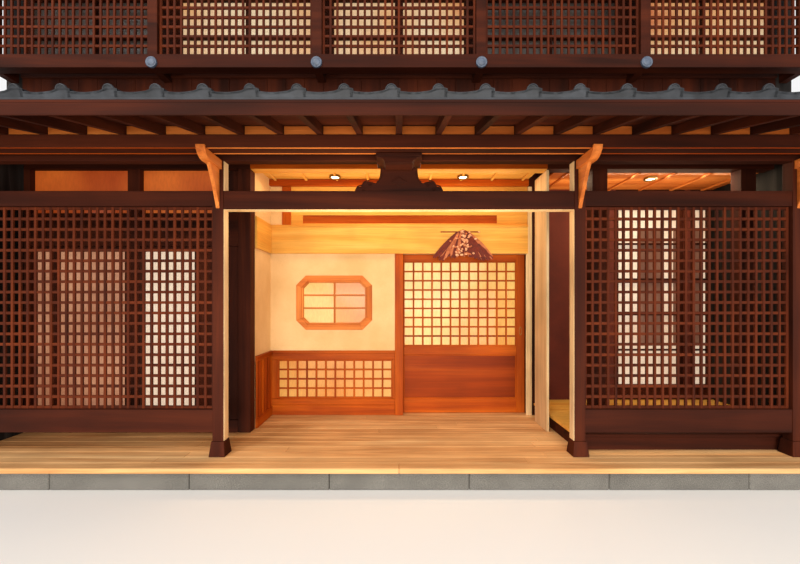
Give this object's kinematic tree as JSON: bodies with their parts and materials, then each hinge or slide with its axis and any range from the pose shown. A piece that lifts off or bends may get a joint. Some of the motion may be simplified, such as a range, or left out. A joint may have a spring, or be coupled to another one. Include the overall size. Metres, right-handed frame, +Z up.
{
  "type": "machiya townhouse",
  "caption": "Two-storey timber townhouse with lattice front, recessed entrance, tiled roofs and a sliding lattice door.",
  "frame": {"origin": "on the ground, at the middle of the house's box", "axes": "+Z up, +Y from the street to the back, +X to the right of someone facing the house"},
  "size_m": [7.6574, 8.91, 7.0873],
  "materials": {
    "stone": "sawn stone footing",
    "deck_wood": "pale oiled boards",
    "dark_timber": "dark stained timber",
    "lattice_timber": "dark stained lattice bars",
    "door_wood": "oiled red-brown timber",
    "pale_wood": "pale planed timber",
    "plaster": "fine sand-finished plaster",
    "red_plaster": "dark red plaster",
    "party_cladding": "charred boards",
    "lit_glass": "paper-backed glass",
    "roof_tile": "smoked clay tile",
    "cap_metal": "grey-blue painted caps"
  },
  "bodies": {
    "house": {"plinth": "stone", "ground_floor": "deck_wood", "porch_deck": "deck_wood", "side_platform": "pale_wood", "post_bases": "dark_timber", "front_posts": "dark_timber", "front_rails": "dark_timber", "eave_purlins": "dark_timber", "eave_brackets": "dark_timber", "carved_strut": "dark_timber", "lattice_left_outer": "lattice_timber", "lattice_left_inner": "lattice_timber", "lattice_right_inner": "lattice_timber", "lattice_right_outer": "lattice_timber", "main_posts": "dark_timber", "ground_wall_beams": "dark_timber", "right_back_wall": "red_plaster", "ground_window_frames": "dark_timber", "wing_board": "pale_wood", "recess_left_wall": "plaster", "window_wall": "plaster", "octagon_frame": "door_wood", "low_window_frame": "door_wood", "low_lattice": "door_wood", "centre_post": "door_wood", "entrance_upper_wall": "plaster", "fascia_boards": "pale_wood", "recess_ceiling": "pale_wood", "door_tracks": "door_wood", "ground_window_glass": "lit_glass", "eave_rafters": "dark_timber", "upper_floor": "deck_wood", "upper_front_wall": "dark_timber", "upper_posts": "dark_timber", "upper_window_frames": "dark_timber", "upper_window_glass": "lit_glass", "upper_lattice_frame": "dark_timber", "lattice_arms": "dark_timber", "beam_caps": "cap_metal", "upper_lattice_1": "lattice_timber", "upper_lattice_2": "lattice_timber", "upper_lattice_3": "lattice_timber", "upper_lattice_4": "lattice_timber", "upper_lattice_5": "lattice_timber", "party_walls": "party_cladding", "rear_wall": "dark_timber", "front_rafters": "dark_timber", "rear_rafters": "dark_timber", "roof_purlins": "dark_timber", "roof_boards": "pale_wood", "roof_tiles": "roof_tile", "roof_ridge": "roof_tile", "eave_fascias": "dark_timber"},
    "door": {"entrance_door": "door_wood", "door_glass": "lit_glass"}
  },
  "joints": [
    {"name": "door_slide", "type": "slide", "parent": "house", "child": "door", "axis": [-1, 0, 0], "range_m": [0, 1.25]}
  ]
}
